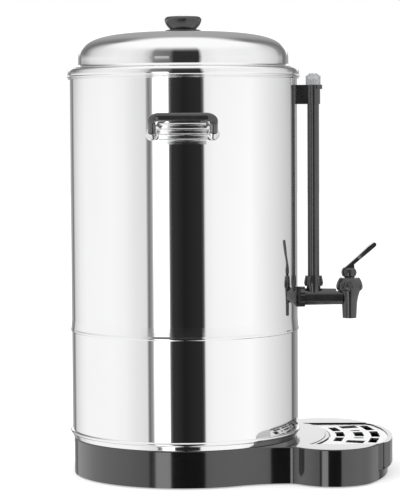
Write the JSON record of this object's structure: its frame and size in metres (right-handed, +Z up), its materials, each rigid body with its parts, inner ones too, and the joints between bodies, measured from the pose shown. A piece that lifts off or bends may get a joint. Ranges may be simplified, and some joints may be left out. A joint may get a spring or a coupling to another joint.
{
  "type": "hot water urn",
  "caption": "Round polished steel hot water urn with a domed lid, side handles, a level gauge, a lever tap and a drip tray in the front shelf of its black base.",
  "frame": {"origin": "middle of the footprint, on the surface that the rubber feet stand on", "axes": "+Z up, +X to the front, where the tap and the drip tray are, +Y to the side away from the picture's camera"},
  "size_m": [0.3802, 0.3394, 0.5366],
  "materials": {
    "polished_steel": "mirror-polished stainless steel",
    "bracket_steel": "polished stainless steel",
    "plain_steel": "plain steel, out of sight",
    "base_plastic": "glossy black moulding",
    "grille_steel": "bright steel plate",
    "black_plastic": "satin black heat-proof moulding",
    "electrical_plastic": "black",
    "pin_brass": "bright",
    "lamp_lens": "red lens",
    "feet_rubber": "black rubber",
    "gauge_glass": "clear glass",
    "clear_plastic": "clear moulding"
  },
  "bodies": {
    "urn": {"bottom_ring": "polished_steel", "lower_shell": "polished_steel", "upper_shell": "polished_steel", "rim_collar": "polished_steel", "inner_tank": "polished_steel", "handle_bracket_near": "bracket_steel", "handle_bracket_far": "bracket_steel", "handle_screws": "bracket_steel", "bracket_screw": "bracket_steel", "cover_screws": "bracket_steel", "return_spring": "bracket_steel", "lock_nut": "bracket_steel", "bottom_pan": "plain_steel", "heat_shield": "plain_steel", "heater_plate": "plain_steel", "heating_element": "plain_steel", "base_housing": "base_plastic", "bottom_cover": "base_plastic", "handle_grip_near": "black_plastic", "handle_grip_far": "black_plastic", "tap_wall_nut": "black_plastic", "tap_shank": "black_plastic", "tap_body": "black_plastic", "tap_bonnet": "black_plastic", "tap_collar": "black_plastic", "gauge_nut": "black_plastic", "gauge_shield": "black_plastic", "gauge_bracket": "black_plastic", "power_inlet": "electrical_plastic", "switch_frame": "electrical_plastic", "terminal_block": "electrical_plastic", "thermostat": "electrical_plastic", "thermal_cutout": "electrical_plastic", "inlet_pins": "pin_brass", "pilot_lamp": "lamp_lens", "rubber_feet": "feet_rubber", "tap_gasket": "feet_rubber", "tank_gasket": "feet_rubber", "gauge_seal": "feet_rubber", "gauge_tube": "gauge_glass", "gauge_cap": "clear_plastic"},
    "lid": {"lid_shell": "polished_steel", "lid_knob": "black_plastic", "knob_washer": "feet_rubber", "knob_screw": "bracket_steel"},
    "tray": {"drip_tray": "base_plastic"},
    "grille": {"drip_grille": "grille_steel"},
    "valve": {"tap_stem": "bracket_steel", "seat_cup": "feet_rubber", "lever_pin": "bracket_steel"},
    "lever": {"tap_lever": "black_plastic"},
    "rocker": {"switch_rocker": "electrical_plastic"}
  },
  "joints": [
    {"name": "lid_lift", "type": "slide", "parent": "urn", "child": "lid", "axis": [0, 0, 1], "range_m": [0, 0.08]},
    {"name": "tray_pull", "type": "slide", "parent": "urn", "child": "tray", "axis": [1, 0, 0], "range_m": [0, 0.08]},
    {"name": "grille_lift", "type": "slide", "parent": "tray", "child": "grille", "axis": [0, 0, 1], "range_m": [0, 0.04]},
    {"name": "valve_lift", "type": "slide", "parent": "urn", "child": "valve", "axis": [0, 0, 1], "range_m": [0, 0.0042], "deforming": ["return_spring"]},
    {"name": "lever_press", "type": "hinge", "parent": "valve", "child": "lever", "pos_m": [0.1403, 0, 0.2352], "axis": [0, 1, 0], "range_deg": [0, 25], "stiffness_Nm_per_rad": 0.3},
    {"name": "rocker_tip", "type": "hinge", "parent": "urn", "child": "rocker", "pos_m": [-0.14276, 0.09847, 0.025], "axis": [0, 0, 1], "range_deg": [0, 22]}
  ],
  "couplings": [
    {"joint": "valve_lift", "follows": "lever_press", "m_per_rad": 0.00917}
  ]
}
